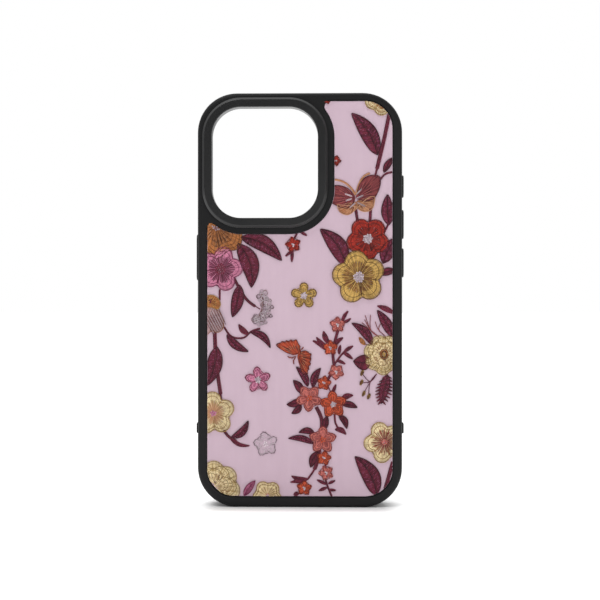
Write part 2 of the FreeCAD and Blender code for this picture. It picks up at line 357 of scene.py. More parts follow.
# %% Where the cloth is
BORDER_STEPS = 8
BORDER_HALVINGS = 5
SHORTEST_STITCH = 0.1


def rounded_box_distance(x, z, middle, half, corner):
    """Distance to a round-cornered rectangle, negative inside."""
    dx = abs(x - middle[0]) - half[0] + corner
    dz = abs(z - middle[1]) - half[1] + corner
    return math.hypot(max(dx, 0), max(dz, 0)) + min(max(dx, dz), 0) - corner


def cloth_distance(x, z):
    """Distance to the cloth's edge, negative on the cloth."""
    outer = rounded_box_distance(x, z, panel_middle, panel_half, PANEL_CORNER)
    camera = -rounded_box_distance(x, z, camera_middle, camera_half, CAMERA_CORNER)
    if outer > -EAR_ROUNDING and camera > -EAR_ROUNDING:
        return math.hypot(outer + EAR_ROUNDING, camera + EAR_ROUNDING) - EAR_ROUNDING
    return max(outer, camera)


def between(start, end, share):
    """A point part of the way from one place to another."""
    return (start[0] + (end[0] - start[0]) * share, start[1] + (end[1] - start[1]) * share)


def on_cloth(start, end):
    """The part of a stitch that lies on the cloth, or None."""

    def inside(share):
        return cloth_distance(*between(start, end, share)) < -CLOTH_EDGE

    def border(kept, lost):
        for _ in range(BORDER_HALVINGS):
            middle = (kept + lost) / 2
            kept, lost = (middle, lost) if inside(middle) else (kept, middle)
        return kept

    marks = [step for step in range(BORDER_STEPS + 1) if inside(step / BORDER_STEPS)]
    if not marks:
        return None
    first = marks[0]
    last = first
    while last + 1 in marks:
        last += 1
    near = border(first / BORDER_STEPS, (first - 1) / BORDER_STEPS) if first > 0 else 0
    far = border(last / BORDER_STEPS, (last + 1) / BORDER_STEPS) if last < BORDER_STEPS else 1
    if (far - near) * math.dist(start, end) < SHORTEST_STITCH:
        return None
    return between(start, end, near), between(start, end, far)


print("cloth at the middle:", round(cloth_distance(0, 75), 1), "mm from the edge")

# %% [markdown]
# A design is a list of stitches. Each has two ends in millimetres, how high it lies on the
# ones below, its tone and its thickness. All shapes below are made from this one function.

# %% Stitch list
dice = random.Random(7)
stitches = {name: [] for name in THREAD_DYES}
knots = {name: [] for name in THREAD_DYES}
DESIGN_MIDDLE = (-0.33, 75.55)
DESIGN_SHIFT = (panel_middle[0] - DESIGN_MIDDLE[0], panel_middle[1] - DESIGN_MIDDLE[1])
# Half thickness of a filling stitch and of a line, and the height of what lies on top, in mm
FILL = 0.2
LINE = 0.14
FINE_LINE = 0.12
OVER = 0.42
# How far a stitch's tone may stray
SCATTER = 0.36
LEAF_SCATTER = 0.28
LINE_SCATTER = 0.15


def placed(spot):
    """A point of the design as drawn, moved to where the panel is."""
    return (spot[0] + DESIGN_SHIFT[0], spot[1] + DESIGN_SHIFT[1])


def strayed(tone, scatter):
    """A tone that strays a little, kept between 0 and 1."""
    return min(max(tone + dice.uniform(-scatter, scatter), 0), 1)


def stitch(dye, start, end, level, tone, girth=FILL, scatter=SCATTER):
    """One straight stitch, cut off at the cloth's edge."""
    kept = on_cloth(placed(start), placed(end))
    if kept:
        shade = strayed(tone, scatter)
        stitches[dye].append((kept[0], kept[1], level, shade, girth))


# %% [markdown]
# A line of stem stitch follows a curve: short stitches that overlap, each leaning a little.
# Stems are several such lines side by side, and outlines are one thin line.

# %% Stem stitch
ROW_SPACING = 0.34
STITCH_LEAN = 0.04


def polar(middle, angle, reach):
    """A point at an angle and distance from a middle."""
    return (middle[0] + reach * math.cos(angle), middle[1] + reach * math.sin(angle))


def moved(point, direction, distance):
    """A point moved some way in a direction."""
    return (point[0] + direction[0] * distance, point[1] + direction[1] * distance)


def curve_value(a, b, c, d, t):
    """One coordinate of a smooth curve through four points, at a share of the way from b to c."""
    bend = 2 * a - 5 * b + 4 * c - d
    swing = 3 * b - a - 3 * c + d
    return 0.5 * (2 * b + (c - a) * t + bend * t**2 + swing * t**3)


def smooth_path(points, step=0.5):
    """Points a set distance apart along a smooth curve through the given ones."""
    padded = [points[0]] + list(points) + [points[-1]]
    path = []
    for number in range(1, len(padded) - 2):
        four = padded[number - 1 : number + 3]
        count = max(2, int(math.dist(four[1], four[2]) / step))
        for piece in range(count):
            path.append(tuple(curve_value(*(p[k] for p in four), piece / count) for k in (0, 1)))
    path.append(points[-1])
    return path


def sideways(path, number):
    """Unit vector to the left of a path at one of its points."""
    before = path[max(number - 1, 0)]
    after = path[min(number + 1, len(path) - 1)]
    length = math.dist(before, after) or 1
    return (-(after[1] - before[1]) / length, (after[0] - before[0]) / length)


def line(dye, path, level, tone, girth=LINE, shift=0.0, reach=3):
    """Stem stitch along a path, moved sideways by shift."""
    for number in range(0, len(path) - 1, max(reach - 1, 1)):
        far = min(number + reach, len(path) - 1)
        start = moved(path[number], sideways(path, number), shift + STITCH_LEAN)
        end = moved(path[far], sideways(path, far), shift - STITCH_LEAN)
        stitch(dye, start, end, level, tone, girth, LINE_SCATTER)


def stem(dye, points, width, level=0.1, tone=0.35):
    """A stem as wide as asked, from rows of stem stitch that thin out towards its end."""
    path = smooth_path(points)
    rows = max(1, round(width / ROW_SPACING))
    for row in range(rows):
        shift = (row - (rows - 1) / 2) * ROW_SPACING
        end = len(path) if abs(shift) < width * 0.3 else max(3, int(len(path) * 0.85))
        line(dye, path[:end], level, tone + 0.3 * (row % 2) - 0.1, FILL, shift)


# %% [markdown]
# A leaf is fishbone stitch: slanting stitches run from a curved middle vein to both edges,
# pointing towards the tip. Short lighter flecks, a dark vein and a dark outline go on last.

# %% Leaf
FISHBONE_STEP = 0.3
FLECK_DYE = "pink"
FLECKED_LENGTH = 7


def leaf(base, tip, width, bend=0.0, dye="wine", level=0.08, tone=0.42, veined=True):
    """Almond-shaped leaf from base to tip; bend pushes its middle to the left."""
    length = math.dist(base, tip)
    away = ((tip[0] - base[0]) / length, (tip[1] - base[1]) / length)
    left = (-away[1], away[0])
    control = moved(((base[0] + tip[0]) / 2, (base[1] + tip[1]) / 2), left, bend * 2)

    def vein(t):
        return tuple(base[k] * (1 - t) ** 2 + 2 * control[k] * t * (1 - t) + tip[k] * t**2 for k in (0, 1))

    def half_width(t):
        return width / 2 * math.sin(math.pi * min(max(t, 0), 1) ** 0.85) ** 0.75

    count = max(6, int(length / FISHBONE_STEP))
    edges = ([], [])
    for number in range(count + 1):
        t = number / count
        middle = vein(t)
        slant = min(t + 0.35 * width / length * (1 - t), 1)
        ahead = vein(slant)
        for side, edge in ((1, edges[0]), (-1, edges[1])):
            spot = moved(ahead, left, side * half_width(slant))
            edge.append(spot)
            if math.dist(middle, spot) > 0.15:
                stitch(dye, middle, spot, level, tone + 0.06 * side, FILL, LEAF_SCATTER)
                if veined and length > FLECKED_LENGTH and number % 2:
                    near_share = dice.uniform(0.1, 0.7)
                    far_share = near_share + dice.uniform(0.15, 0.3)
                    ends = (between(middle, spot, near_share), between(middle, spot, far_share))
                    stitch(FLECK_DYE, *ends, level + 0.22, 0.12, FINE_LINE, LINE_SCATTER)
    if veined:
        line(dye, smooth_path([vein(t / 6) for t in range(7)]), level + 0.2, 0.05, 0.1)
        for edge in edges:
            line(dye, [base] + edge, level + 0.18, 0.0)


# %% [markdown]
# A flower is filled with long and short stitch: two rings of radial stitches whose ends are
# staggered, so no ring shows. Its edge is a round petal repeated, and a darker outline and
# a cluster of knots finish it.

# %% Flower
FULL_TURN = 2 * math.pi
PETALS = 5
LEAST_REACH = 0.42
FAN_DENSITY = 0.85
FAN_SPACING = 0.36
OUTLINE_STEP = 0.4
KNOT_SIZE = 0.3
SUNFLOWER_TURN = 2.39996
FLOWER_LEVEL = 0.14
LINED_RADIUS = 3.5
PETAL_LINES = ((0.9, 1.0), (0.8, 0.0), (0.66, 1.0))


def petal_reach(radius, petals, fullness, pointed=0.0):
    """Distance from the middle to the petals' edge, as a function of the angle."""
    round_radius = radius * fullness
    step = radius - round_radius
    least = radius * LEAST_REACH

    def reach(angle):
        turn = (angle + math.pi / petals) % (2 * math.pi / petals) - math.pi / petals
        inside = round_radius**2 - (step * math.sin(turn)) ** 2
        if inside <= 0:
            return least
        tip = 1 - pointed * min(abs(turn) * petals / 1.5, 1)
        return max((step * math.cos(turn) + math.sqrt(inside)) * tip, least)

    return reach


def fan(dye, middle, reach, inner, level, tone, tone_out, dome=0.07):
    """Radial long and short stitches all round a middle."""
    widest = max(reach(FULL_TURN * k / 24) for k in range(25))
    count = max(8, int(FULL_TURN * widest * FAN_DENSITY / FAN_SPACING))
    for number in range(count):
        angle = FULL_TURN * (number + 0.5) / count
        far = reach(angle)
        if far <= inner + 0.2:
            continue
        meet = inner + (far - inner) * dice.uniform(0.42, 0.6)
        stitch(dye, polar(middle, angle, meet - 0.4), polar(middle, angle, far), level, tone_out)
        if number % 4 != 3:
            stitch(dye, polar(middle, angle, inner), polar(middle, angle, meet + 0.4), level + dome, tone)


def outline(dye, middle, reach, level, tone, share=1.0, girth=LINE):
    """A line of stem stitch round a fan, at a share of its reach."""
    count = max(8, int(FULL_TURN * reach(0) / OUTLINE_STEP))
    angles = [FULL_TURN * number / count for number in range(count + 1)]
    line(dye, [polar(middle, angle, reach(angle) * share) for angle in angles], level, tone, girth)


def knot_cluster(dye, middle, radius, level=OVER, tone=0.6):
    """French knots packed in a sunflower spiral."""
    count = max(1, int((radius / KNOT_SIZE) ** 2 * 0.8))
    for number in range(count):
        angle = number * SUNFLOWER_TURN
        spot = placed(polar(middle, angle, radius * math.sqrt((number + 0.5) / count)))
        if cloth_distance(*spot) < -CLOTH_EDGE - KNOT_SIZE:
            shade = strayed(tone, 0.25)
            knots[dye].append((spot, level, shade, KNOT_SIZE))


def spokes(dye, middle, inner, outer, count, level=OVER, tone=0.3):
    """Thin straight stitches round a flower's middle, uneven in length."""
    for number in range(count):
        angle = 2 * math.pi * (number + dice.uniform(-0.2, 0.2)) / count
        far = inner + (outer - inner) * dice.uniform(0.65, 1.0)
        ends = (polar(middle, angle, inner), polar(middle, angle, far))
        stitch(dye, *ends, level, tone, FINE_LINE, LINE_SCATTER)


def flower(
    dye, middle, radius, turn=0.0, fullness=0.44, pointed=0.0, lift=0.0,
    eye="silver", eye_size=0.2, tone=0.5, edge=None, edge_tone=0.0,
):
    """Whole flower: filled petals, darker outline, lines between petals, knots in the middle."""
    shape = petal_reach(radius, PETALS, fullness, pointed)
    turn = math.radians(turn)

    def reach(angle):
        return shape(angle - turn)

    inner = radius * eye_size * 0.8
    fan(dye, middle, reach, inner, FLOWER_LEVEL + lift, tone - 0.12, tone + 0.16)
    edge = edge or dye
    outline(edge, middle, reach, OVER - 0.06 + lift, edge_tone, 0.99, 0.13)
    if radius > LINED_RADIUS:
        for share, shade in PETAL_LINES:
            outline(dye, middle, reach, OVER - 0.08 + lift, shade, share, 0.1)
        for number in range(PETALS):
            angle = turn + (number + 0.5) * 2 * math.pi / PETALS
            far = reach(angle)
            ends = (polar(middle, angle, far * 0.4), polar(middle, angle, far))
            stitch(edge, *ends, OVER - 0.04 + lift, edge_tone, LINE, 0)
    knot_cluster(eye, middle, radius * eye_size, OVER + lift)


# %% [markdown]
# Now the design itself. Leaves and stems in wine thread tie the sprays together, so they
# are laid first, and the blooms cover their ends.

# %% Leaves and stems
# Base, tip, width and bend of every leaf
LEAVES = (
    (27.7, 127.2, 18.4, 142.3, 6.0, -1.4), (29.9, 121.0, 33.6, 126.4, 2.2, 0.4),
    (31.7, 102.0, 31.3, 113.0, 4.3, 0.3), (16.4, 87.4, 7.1, 100.6, 6.3, -1.6),
    (29.6, 88.2, 34.2, 97.4, 4.9, 0.5), (28.8, 84.4, 34.4, 85.6, 2.7, 0.4),
    (-21.6, 97.8, -6.8, 89.3, 5.7, 2.0), (-22.6, 95.6, -17.7, 79.6, 6.4, 2.0),
    (-22.0, 80.6, -24.6, 68.9, 4.3, 0.5), (-30.2, 58.4, -33.8, 44.2, 5.4, 0.8),
    (-18.9, 62.8, -22.4, 66.4, 2.1, 0.4), (-26.6, 62.6, -18.8, 56.5, 2.9, -1.0),
    (-18.2, 63.6, -10.9, 57.8, 2.5, 1.6), (-25.1, 25.4, -18.9, 31.6, 2.7, -1.3),
    (-25.4, 25.2, -18.0, 22.6, 1.4, -1.0), (27.4, 4.6, 19.6, 18.8, 6.3, -1.7),
    (33.4, 70.4, 27.4, 73.0, 2.0, -0.3), (33.4, 61.6, 27.6, 71.4, 3.6, -0.4),
    (25.8, 59.0, 18.4, 66.8, 3.1, -1.2), (25.8, 53.0, 19.0, 53.0, 5.4, 0.4),
    (15.0, 67.4, 17.2, 71.2, 1.3, 0.3), (15.0, 67.0, 18.2, 68.6, 1.1, -0.3),
    (10.0, 59.6, 8.2, 64.0, 2.0, 0.3), (9.2, 58.4, 5.6, 61.8, 1.5, 0.3),
    (8.8, 57.2, 4.0, 60.6, 1.3, -0.4), (12.2, 58.8, 15.4, 61.6, 1.6, 0.3),
    (13.8, 55.6, 14.4, 59.0, 1.2, 0.1), (15.6, 56.4, 19.0, 58.6, 1.3, 0.1),
    (15.4, 56.2, 18.8, 53.8, 1.4, 0.1), (13.0, 53.4, 16.2, 52.0, 1.2, 0.1),
    (2.6, 44.0, -1.6, 51.0, 2.5, -0.8), (4.4, 43.6, 7.2, 50.6, 2.6, 0.8),
    (0.4, 41.4, -2.6, 46.2, 2.7, -0.5), (-0.2, 39.4, -5.0, 37.4, 2.5, 0.7),
    (0.2, 37.4, -3.2, 34.2, 2.2, 0.5), (14.6, 39.2, 19.0, 40.8, 2.1, 0.5),
    (14.8, 37.6, 20.4, 36.4, 2.2, 0.5), (11.6, 41.6, 12.8, 44.8, 1.2, 0.1),
    (5.0, 27.2, -0.6, 27.4, 2.2, -0.8), (4.6, 23.4, -4.4, 25.2, 2.2, -1.0),
    (9.0, 28.8, 9.6, 33.4, 2.2, 0.3), (13.8, 33.6, 16.6, 28.8, 2.2, 0.8),
    (12.4, 28.6, 16.4, 26.6, 2.0, 0.7), (6.4, 20.6, 3.6, 14.8, 2.7, -0.5),
    (2.6, 10.6, -3.4, 11.8, 2.0, 0.7), (1.6, 9.4, -3.8, 9.4, 1.4, -0.4),
    (10.0, 9.0, 12.6, 10.2, 1.0, 0.0), (9.2, 8.8, 5.8, 10.4, 1.2, 0.0),
    (9.4, 7.6, 6.4, 6.4, 1.2, 0.0), (10.2, 6.8, 12.8, 6.6, 1.0, 0.0),
    (-0.8, 5.6, -2.6, 4.8, 1.6, 0.0), (-2.6, 93.2, -5.8, 90.6, 1.0, 0.0),
    (-3.0, 93.2, -3.2, 88.6, 1.2, 0.0), (0.0, 99.6, 2.4, 98.2, 1.0, 0.0),
)
VEINED_WIDTH = 2.1
for base_x, base_z, tip_x, tip_z, width, bend in LEAVES:
    leaf((base_x, base_z), (tip_x, tip_z), width, bend, veined=width > VEINED_WIDTH)

# Width of every stem and the points it runs through
STEMS = (
    (1.2, (31.9, 142.2), (29.8, 132.0), (26.7, 119.2)),
    (0.8, (28.1, 117.6), (30.4, 120.4), (33.8, 121.2)),
    (0.9, (19.8, 108.2), (20.6, 102.4)),
    (0.9, (25.2, 108.2), (24.9, 102.6)),
    (0.7, (31.9, 103.2), (30.0, 99.2)),
    (1.1, (-24.4, 83.6), (-19.6, 75.4), (-14.6, 71.8)),
    (0.8, (-29.2, 79.0), (-29.2, 75.0)),
    (0.8, (-27.6, 65.4), (-25.0, 61.9), (-20.6, 61.4), (-17.8, 63.8), (-14.6, 64.8)),
    (1.5, (-31.0, 63.4), (-30.4, 52.0), (-28.4, 38.0)),
    (0.9, (-28.2, 29.4), (-26.2, 26.0), (-22.0, 23.6)),
    (1.3, (33.2, 17.0), (30.4, 7.0), (30.0, 4.6)),
    (1.1, (14.6, 67.4), (12.8, 62.0), (11.6, 56.0), (12.0, 50.0), (9.6, 46.0), (11.2, 41.0)),
    (0.7, (11.4, 50.6), (14.2, 54.8), (17.4, 58.2)),
    (1.4, (5.6, 36.6), (7.6, 32.0), (7.2, 26.0), (6.6, 20.0), (5.2, 14.6), (2.4, 10.4)),
    (0.6, (12.2, 34.0), (12.6, 30.4), (14.4, 28.0)),
    (0.7, (9.0, 16.4), (9.0, 10.4), (11.2, 4.4)),
    (0.6, (-2.2, 97.4), (-0.8, 100.0)),
    (0.7, (25.0, 59.4), (28.0, 57.6)),
)
for width, *points in STEMS:
    stem("wine", points, width)
print("wine stitches so far:", len(stitches["wine"]))

# %% [markdown]
# The large blooms come next. They differ in petals, turn and how full they are, and each
# has its own middle: knots, thin spokes, or both.

# %% Large blooms
GOLD_BLOOM = (20.9, 83.3)
GOLD_LIFT = 0.24
PINK_BLOOM = (-28.9, 86.2)


def pale_bloom(middle, radius, turn, eye, **more):
    """A cream bloom with a gold edge."""
    flower("pale_gold", middle, radius, turn, eye=eye, edge="gold", **more)


flower("red", (24.2, 97.1), 7.9, turn=52, eye_size=0.22, tone=0.45)
flower("gold", GOLD_BLOOM, 9.7, turn=27, fullness=0.43, tone=0.62, lift=GOLD_LIFT)
spokes("brown", GOLD_BLOOM, 1.9, 4.4, 34, OVER + GOLD_LIFT, 0.15)
spokes("brown", GOLD_BLOOM, 3.6, 6.0, 46, OVER + GOLD_LIFT, 0.4)
flower("pink", PINK_BLOOM, 8.2, turn=5, fullness=0.4, eye="wine", eye_size=0.24, tone=0.6)
spokes("wine", PINK_BLOOM, 1.9, 5.4, 44)
flower("gold", (1.2, 76.6), 4.8, turn=90, fullness=0.33, eye_size=0.26, tone=0.7)
flower(
    "pink", (-15.4, 46.3), 4.9, turn=95, fullness=0.33, pointed=0.08,
    eye_size=0.24, tone=0.62, edge="wine", edge_tone=0.5,
)
pale_bloom((29.0, 147.4), 6.0, 200, "orange", eye_size=0.14, tone=0.3, edge_tone=0.5)
spokes("orange", (29.0, 147.4), 0.8, 3.6, 18, tone=0.1)
pale_bloom((-31.5, 34.2), 7.9, 22, "pink", fullness=0.4, eye_size=0.14, tone=0.62, edge_tone=0.45)
spokes("peach", (-31.5, 34.2), 1.2, 4.4, 44, tone=0.6)
pale_bloom((30.2, 24.0), 7.6, 42, "coral", fullness=0.4, eye_size=0.14, tone=0.66, edge_tone=0.45)
spokes("coral", (30.2, 24.0), 1.0, 5.0, 40, tone=0.1)
spokes("red", (30.2, 24.0), 3.0, 5.4, 16, tone=0.5)
pale_bloom((-12.0, 4.8), 5.4, 50, "peach", eye_size=0.16, tone=0.55, edge_tone=0.4)
print("gold stitches so far:", len(stitches["gold"]))

# %% [markdown]
# The small blossoms on the middle spray are the same flower at a small size.

# %% Small blossoms
BLOSSOMS = (
    ("coral", (13.3, 66.2), 2.9, 20),
    ("orange", (10.7, 57.9), 2.8, 90),
    ("coral", (12.8, 49.2), 2.9, 50),
    ("orange", (8.4, 45.2), 2.7, 10),
    ("coral", (3.0, 39.8), 4.9, 52),
    ("orange", (11.7, 37.5), 5.0, 95),
    ("coral", (7.9, 24.8), 5.0, 88),
    ("orange", (8.4, 18.2), 2.7, 80),
    ("coral", (9.2, 12.9), 2.8, 40),
    ("orange", (1.3, 7.4), 2.8, 15),
    ("red", (-2.7, 95.0), 2.9, 30),
    ("red", (12.6, 125.2), 2.0, 0),
    ("red", (9.6, 146.9), 1.3, 0),
)
for dye, middle, radius, turn in BLOSSOMS:
    eye = "orange" if dye == "coral" and radius > 4 else "silver"
    flower(dye, middle, radius * 1.04, turn, fullness=0.36, eye=eye, eye_size=0.2, tone=0.55, pointed=0.1)
print("coral stitches so far:", len(stitches["coral"]))

# %% [markdown]
# Ruffled blooms are built like the real flower: a ring of scalloped petals, then smaller
# rings inside it, each higher and turned a little, with gold and pale lines at every edge.

# %% Ruffled blooms
RINGS = 5
# Dye, height, tone, share of the petal and half thickness of the lines on every ring
RUFFLE_LINES = (
    ("gold", OVER - 0.08, 0.25, 0.98, 0.1),
    ("gold", OVER - 0.1, 0.6, 0.88, 0.07),
    ("pale_gold", OVER - 0.1, 1.0, 0.8, 0.08),
)


def ruffled(middle, radius, turn, eye, eye_size):
    """Rings of rounded petals, from the largest to the smallest."""
    for number in range(RINGS):
        share = 1 - number * 0.72 / RINGS
        petals = 7 - number
        shape = petal_reach(radius * share, petals, 0.4)
        twist = math.radians(turn + 23 * number)

        def reach(angle, shape=shape, twist=twist):
            return shape(angle - twist)

        level = 0.08 + 0.05 * number
        fan("pale_gold", middle, reach, radius * share * 0.4, level, 0.45, 0.85, 0.03)
        for line_dye, line_level, shade, part, girth in RUFFLE_LINES:
            outline(line_dye, middle, reach, line_level, shade, part, girth)
    spokes("gold", middle, radius * 0.5, radius * 0.95, 26, OVER - 0.1, 0.5)
    spokes("brown", middle, radius * 0.26, radius * 0.62, 22, OVER - 0.08, 0.3)
    knot_cluster(eye, middle, eye_size, OVER)


ruffled((29.9, 55.4), 7.4, 10, "gold", 0.9)
EYE = (30.0, 55.6)
for size, shade in ((1.0, 0.05), (1.3, 0.05), (1.6, 0.7), (1.9, 0.05)):
    eye_ring = [
        (EYE[0] + 0.85 * size * math.cos(k / 3), EYE[1] + 1.1 * size * math.sin(k / 3)) for k in range(20)
    ]
    line("brown", eye_ring, OVER + 0.02, shade, 0.13)
ruffled((-31.2, 7.6), 9.6, 40, "pale_gold", 1.6)
print("pale gold stitches so far:", len(stitches["pale_gold"]))

# %% [markdown]
# The striped dome, the wings and the bird have free-form edges, so they share one function.
# It runs long and short stitches from a root point to every point of a rim, then lays thin
# lines over them and an outline round them.

# %% Free-form patches
THIN_RAY = 0.08


def patch(dye, root, rim, level, tone, tone_out, edge_dye, edge_tone, rays):
    """Stitches from a root to a closed rim, thin rays of the given dyes and tones, an outline."""
    path = smooth_path(rim + rim[:1], 0.3)
    for number, far in enumerate(path):
        meet = dice.uniform(0.4, 0.6)
        stitch(dye, between(root, far, meet - 0.1), far, level, tone_out)
        if number % 3:
            stitch(dye, between(root, far, 0.05), between(root, far, meet + 0.1), level + 0.05, tone)
        if number % 2 and math.dist(root, far) > 2.5:
            ray_dye, ray_tone = rays[number // 2 % len(rays)]
            near_share = dice.uniform(0.12, 0.4)
            far_share = dice.uniform(0.6, 0.95)
            ends = (between(root, far, near_share), between(root, far, far_share))
            stitch(ray_dye, *ends, OVER - 0.1, ray_tone, THIN_RAY)
    line(edge_dye, path, OVER - 0.06, edge_tone, 0.11)


DOME = (-30.4, 101.6)
DOME_RAYS = (("brown", 0.0), ("brown", 1.0), ("peach", 0.4), ("brown", 0.0))
DOME_RIM = [
    (-35.4, 101.0), (-33.0, 103.6), (-26.0, 103.0), (-21.6, 99.6), (-21.1, 97.2), (-21.7, 94.8),
    (-22.9, 93.3), (-24.6, 92.9), (-26.2, 92.8), (-27.6, 91.6), (-29.0, 90.4), (-30.6, 90.1),
    (-32.0, 90.8), (-33.6, 92.4), (-35.6, 93.6),
]
patch("brown", DOME, DOME_RIM, 0.14, 0.35, 0.8, "brown", 0.0, DOME_RAYS)
for share in (0.34, 0.5, 0.64, 0.78, 0.9):
    band = smooth_path([between(DOME, spot, share) for spot in DOME_RIM[3:14]], 0.4)
    line("brown", band, OVER - 0.04, 0.1, THIN_RAY)
knot_cluster("silver", DOME, 1.5, OVER, 0.15)
print("brown stitches so far:", len(stitches["brown"]))

# %% [markdown]
# Two butterflies rest among the flowers: a rose one with peach lower wings by the camera,
# and a small ragged orange one above the middle spray.

# %% Butterflies
# Each wing's outline dye and tone, and the dyes and tones of its rays
PEACH_EDGE = ("peach", 0.8, (("peach", 0.9), ("brown", 0.2), ("rose", 0.3)))
ROSE_EDGE = ("wine", 0.1, (("wine", 0.1), ("coral", 0.6), ("wine", 0.3)))
ORANGE_EDGE = ("red", 0.0, (("wine", 0.1), ("peach", 0.5), ("red", 0.1)))
patch(
    "peach", (19.9, 110.4),
    [(13.2, 109.4), (13.6, 107.4), (15.0, 106.1), (16.7, 105.7), (18.2, 106.2), (19.3, 107.2), (20.0, 108.6)],
    0.1, 0.0, 0.25, *PEACH_EDGE,
)
patch(
    "peach", (20.1, 110.6),
    [(20.4, 108.2), (21.6, 107.2), (23.3, 106.8), (24.9, 107.2), (26.1, 108.4), (26.5, 110.0),
     (26.6, 112.2), (24.0, 111.6)],
    0.1, 0.1, 0.35, *PEACH_EDGE,
)
patch(
    "rose", (19.6, 111.9),
    [(18.6, 113.6), (17.4, 114.9), (15.6, 115.9), (13.4, 116.3), (11.0, 116.0), (9.8, 113.4), (10.2, 110.8),
     (12.2, 109.4), (14.4, 108.5), (16.6, 108.1), (18.2, 109.2), (19.2, 110.6)],
    0.16, 0.3, 0.45, *ROSE_EDGE,
)
patch(
    "rose", (20.0, 111.7),
    [(20.4, 114.2), (21.2, 116.6), (22.6, 118.6), (24.3, 119.7), (26.3, 120.0), (28.0, 119.8),
     (28.7, 118.8), (28.7, 116.9), (28.2, 114.9), (27.4, 113.1), (26.3, 111.5), (24.4, 110.8), (22.2, 110.7)],
    0.16, 0.3, 0.45, *ROSE_EDGE,
)
for feeler in (
    [(19.8, 112.8), (18.2, 115.4), (16.0, 117.3), (13.8, 118.2), (11.8, 118.4)],
    [(20.0, 113.2), (20.7, 116.0), (21.9, 118.6), (23.2, 120.1), (25.0, 120.7)],
):
    stem("peach", feeler, 0.6, 0.2, 0.3)
for start, end in (
    ((20.0, 113.0), (22.0, 115.0)), ((20.0, 111.6), (22.6, 112.7)), ((20.2, 110.2), (23.2, 108.8)),
    ((19.7, 110.0), (17.7, 108.3)), ((15.9, 113.3), (18.5, 112.4)), ((16.2, 110.8), (18.4, 111.5)),
):
    for shift in (-0.16, 0.16):
        stitch("silver", (start[0], start[1] + shift), (end[0], end[1] + shift), OVER, 0.75, 0.12)
patch(
    "orange", (-1.2, 55.6),
    [(-2.9, 55.4), (-4.8, 56.0), (-6.8, 57.2), (-8.7, 58.6), (-8.5, 59.4), (-7.3, 59.5), (-6.7, 60.3),
     (-5.8, 59.8), (-5.1, 60.6), (-4.4, 60.0), (-3.5, 60.9), (-2.9, 60.2), (-1.7, 60.9), (-1.1, 60.1),
     (-0.8, 59.1), (-0.1, 58.5), (-0.5, 57.6), (0.1, 57.0), (-0.6, 56.2)],
    0.14, 0.3, 0.5, *ORANGE_EDGE,
)
patch(
    "orange", (-1.1, 55.0),
    [(0.0, 56.4), (1.3, 56.8), (2.5, 56.6), (2.9, 56.0), (4.0, 55.6), (3.4, 54.6), (3.9, 53.8),
     (3.2, 53.0), (3.7, 52.0), (2.8, 51.2), (3.1, 50.2), (2.4, 49.6), (2.6, 48.4), (1.9, 48.1),
     (0.9, 48.4), (0.3, 49.6), (-0.1, 51.2), (-0.6, 53.0)],
    0.14, 0.3, 0.5, *ORANGE_EDGE,
)
for feeler in (
    [(-1.6, 54.9), (-2.9, 54.2), (-3.9, 54.2), (-4.7, 54.8)],
    [(-1.8, 54.5), (-2.6, 53.6), (-2.7, 52.6), (-2.3, 52.0)],
    [(0.2, 57.2), (0.6, 57.5), (1.0, 58.2)],
):
    stem("orange", feeler, 0.5, 0.2, 0.2)
print("orange stitches so far:", len(stitches["orange"]))

# %% [markdown]
# The next motifs are light ones: a loose lacy bloom, an outline flower and a small bird at
# the edge. They are drawn with single lines and few fills.

# %% Lacy bloom, outline flower and bird
LACE = (
    ((-13.6, 76.6), 1.9),
    ((-12.0, 73.6), 2.1),
    ((-12.4, 70.4), 2.1),
    ((-14.2, 68.0), 1.9),
    ((-16.0, 68.2), 1.1),
)
OUTLINE_FLOWER = (-12.6, 23.2)
OUTLINE_TURN = 1.75


def loops(dye, middle, radius, count, level=0.24, tone=0.5):
    """Small open loops scattered round a middle."""
    for number in range(count):
        angle = number * SUNFLOWER_TURN
        spot = polar(middle, angle, radius * math.sqrt((number + 0.3) / count))
        size = dice.uniform(0.6, 1.0)
        ring = [polar(spot, math.radians(40 * k), size) for k in range(10)]
        line(dye, ring, level, tone + dice.uniform(-0.4, 0.4), 0.08, reach=2)


for spot, size in LACE:
    loops("mauve", spot, size, 6, 0.16, 0.3)
    loops("silver", spot, size, 8, 0.24, 0.6)
stem("mauve", ((-16.4, 67.4), (-14.6, 70.0), (-13.6, 73.0), (-14.0, 77.2)), 0.7, 0.1, 0.2)

outline_shape = petal_reach(4.7, PETALS, 0.36, 0.08)


def outline_reach(angle):
    """The outline flower's edge, turned to its place."""
    return outline_shape(angle - OUTLINE_TURN)


for share, shade in ((1.0, 0.0), (0.9, 1.0), (0.55, 1.0)):
    outline("silver", OUTLINE_FLOWER, outline_reach, 0.14, shade, share, THIN_RAY)
spokes("silver", OUTLINE_FLOWER, 2.2, 3.6, 7, 0.14, 1.0)
knot_cluster("silver", OUTLINE_FLOWER, 1.0, 0.2, 0.95)

